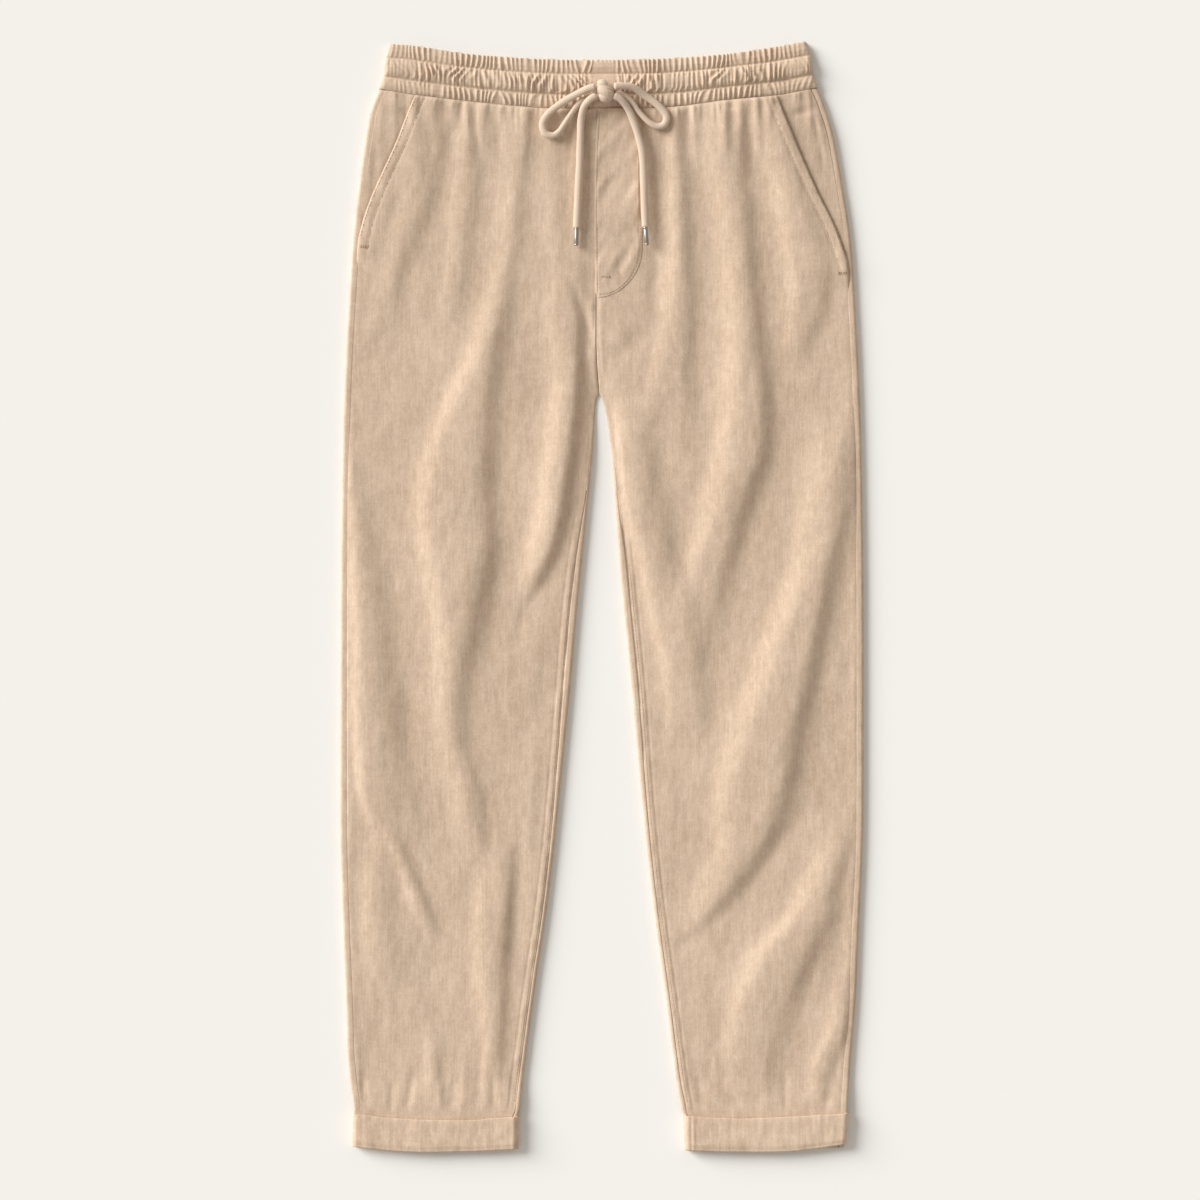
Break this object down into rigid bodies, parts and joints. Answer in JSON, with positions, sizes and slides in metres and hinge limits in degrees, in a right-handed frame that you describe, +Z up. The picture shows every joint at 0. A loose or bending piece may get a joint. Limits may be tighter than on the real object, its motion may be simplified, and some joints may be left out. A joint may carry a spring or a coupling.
{
  "type": "drawstring trousers with turned-up cuffs",
  "caption": "Relaxed tapered linen trousers laid flat, with a gathered elastic waistband, a bowed drawstring, slant pockets, a stitched fly and turned-up cuffs.",
  "frame": {"origin": "centre of the laid garment's outline, on the surface that it lies on", "axes": "+X towards the wearer's left, +Y towards the waist, +Z up from the surface"},
  "size_m": [0.4719, 1.0001, 0.0238],
  "materials": {
    "cloth": "washed plain-weave linen",
    "cord": "soft flat cotton cord",
    "metal_tip": "satin nickel"
  },
  "bodies": {
    "root": {"front_leg_right": "cloth", "front_leg_left": "cloth", "back_leg_right": "cloth", "back_leg_left": "cloth", "pocket_facing_right": "cloth", "pocket_facing_left": "cloth", "fly_placket": "cloth", "waistband_front": "cloth", "waistband_back": "cloth", "cuff_right": "cloth", "cuff_left": "cloth", "drawstring_knot": "cord", "drawstring_loop_right": "cord", "drawstring_loop_left": "cord", "drawstring_tail_right": "cord", "drawstring_tail_left": "cord", "drawstring_tip_right": "metal_tip", "drawstring_tip_left": "metal_tip"}
  },
  "joints": []
}
